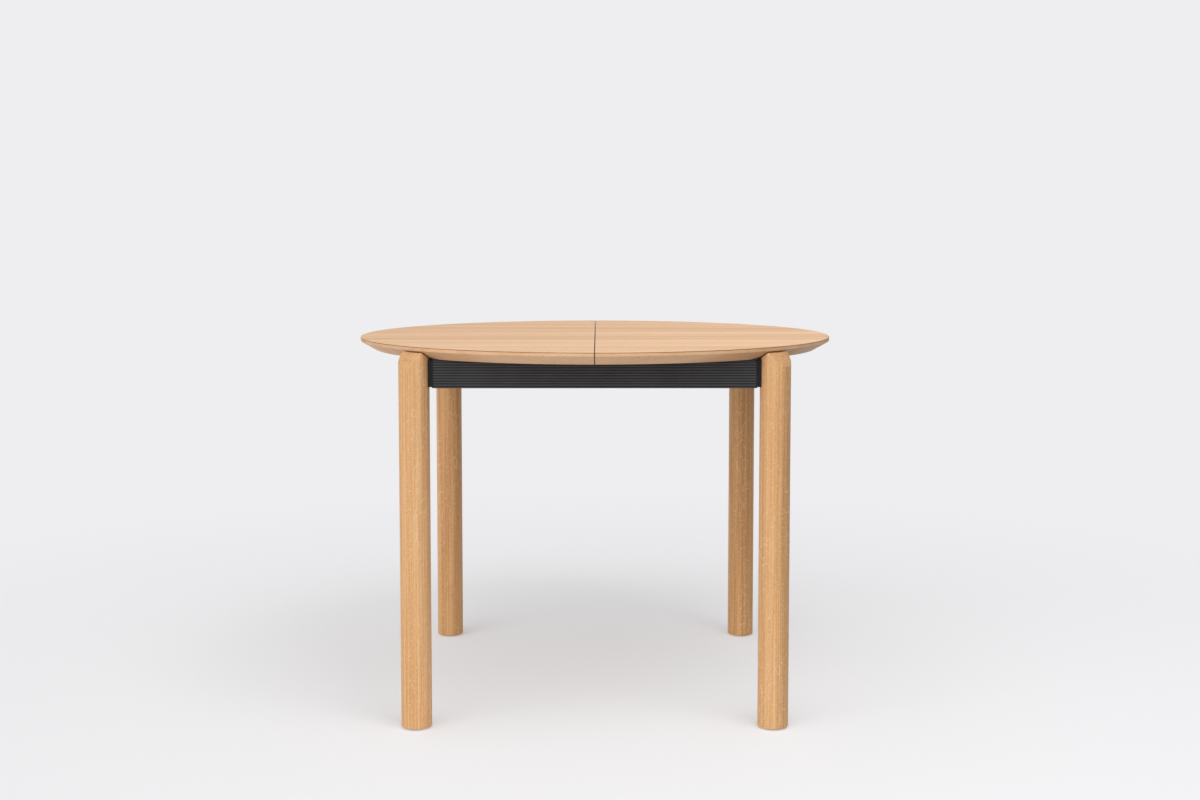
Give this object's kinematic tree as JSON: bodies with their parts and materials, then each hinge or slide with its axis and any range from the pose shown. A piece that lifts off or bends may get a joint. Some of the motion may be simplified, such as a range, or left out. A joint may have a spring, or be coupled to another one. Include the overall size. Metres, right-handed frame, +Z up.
{
  "type": "extending table",
  "caption": "Round oak dining table that slides open at a centre seam on telescopic ribbed black rails, with round corner legs and a folding leaf stored under the top.",
  "frame": {"origin": "on the floor under the middle of the closed top", "axes": "+Z up, the halves slide along X, the front is towards -Y"},
  "size_m": [1, 1, 0.75],
  "materials": {
    "oak_veneer": "matt lacquered veneer",
    "oak_solid": "matt lacquered solid oak",
    "black_anodised": "black anodised extrusion",
    "black_cast": "black powder coat",
    "bare_aluminium": "clear anodised",
    "black_plastic": "moulded",
    "white_plastic": "moulded",
    "black_rubber": "matt",
    "brass": "satin",
    "zinc_steel": "zinc plated"
  },
  "bodies": {
    "centre_frame": {"front_rail": "black_anodised", "rear_rail": "black_anodised", "front_rail_caps": "black_plastic", "rear_rail_caps": "black_plastic", "front_rail_buttons": "white_plastic", "rear_rail_buttons": "white_plastic", "left_leaf_strap": "zinc_steel", "right_leaf_strap": "zinc_steel", "leaf_pads": "black_rubber", "lower_leaf_panel": "oak_veneer", "upper_leaf_panel": "oak_veneer", "lower_hinge_plates": "brass", "upper_hinge_plates": "brass", "hinge_pins": "brass", "hinge_screws": "brass", "gear_bracket": "zinc_steel", "gear_axle": "zinc_steel", "frame_screws": "zinc_steel"},
    "left_half": {"left_top": "oak_veneer", "left_end_rail": "black_anodised", "left_runner_shoes": "black_plastic", "left_foot_glides": "white_plastic", "left_leg_bolts": "zinc_steel", "left_leg_inserts": "brass", "left_top_brackets": "zinc_steel", "left_rack": "white_plastic", "left_top_screws": "zinc_steel", "left_rail_screws": "zinc_steel", "front_left_leg": "oak_solid", "front_left_corner_block": "black_cast", "front_left_runner": "bare_aluminium", "rear_left_leg": "oak_solid", "rear_left_corner_block": "black_cast", "rear_left_runner": "bare_aluminium", "seam_pins": "brass", "front_lock_housing": "black_plastic", "rear_lock_housing": "black_plastic"},
    "right_half": {"right_top": "oak_veneer", "right_end_rail": "black_anodised", "right_runner_shoes": "black_plastic", "right_foot_glides": "white_plastic", "right_leg_bolts": "zinc_steel", "right_leg_inserts": "brass", "right_top_brackets": "zinc_steel", "right_rack": "white_plastic", "right_top_screws": "zinc_steel", "right_rail_screws": "zinc_steel", "front_right_leg": "oak_solid", "front_right_corner_block": "black_cast", "front_right_runner": "bare_aluminium", "rear_right_leg": "oak_solid", "rear_right_corner_block": "black_cast", "rear_right_runner": "bare_aluminium", "seam_sockets": "white_plastic", "lock_keepers": "black_plastic"},
    "sync_gear": {"sync_gear": "white_plastic"},
    "front_lock_bolt": {"front_lock_bolt": "zinc_steel"},
    "rear_lock_bolt": {"rear_lock_bolt": "zinc_steel"}
  },
  "joints": [
    {"name": "left_slide", "type": "slide", "parent": "centre_frame", "child": "left_half", "axis": [-1, 0, 0], "range_m": [0, 0.2]},
    {"name": "right_slide", "type": "slide", "parent": "centre_frame", "child": "right_half", "axis": [1, 0, 0], "range_m": [0, 0.2]},
    {"name": "gear_turn", "type": "hinge", "parent": "centre_frame", "child": "sync_gear", "pos_m": [0, 0.28414, 0.6928], "axis": [0, 0, 1], "range_deg": [0, 849]},
    {"name": "front_lock", "type": "slide", "parent": "left_half", "child": "front_lock_bolt", "axis": [1, 0, 0], "range_m": [0, 0.018]},
    {"name": "rear_lock", "type": "slide", "parent": "left_half", "child": "rear_lock_bolt", "axis": [1, 0, 0], "range_m": [0, 0.018]}
  ],
  "couplings": [
    {"joint": "right_slide", "follows": "left_slide", "ratio": 1},
    {"joint": "gear_turn", "follows": "left_slide", "rad_per_m": 74.074}
  ]
}
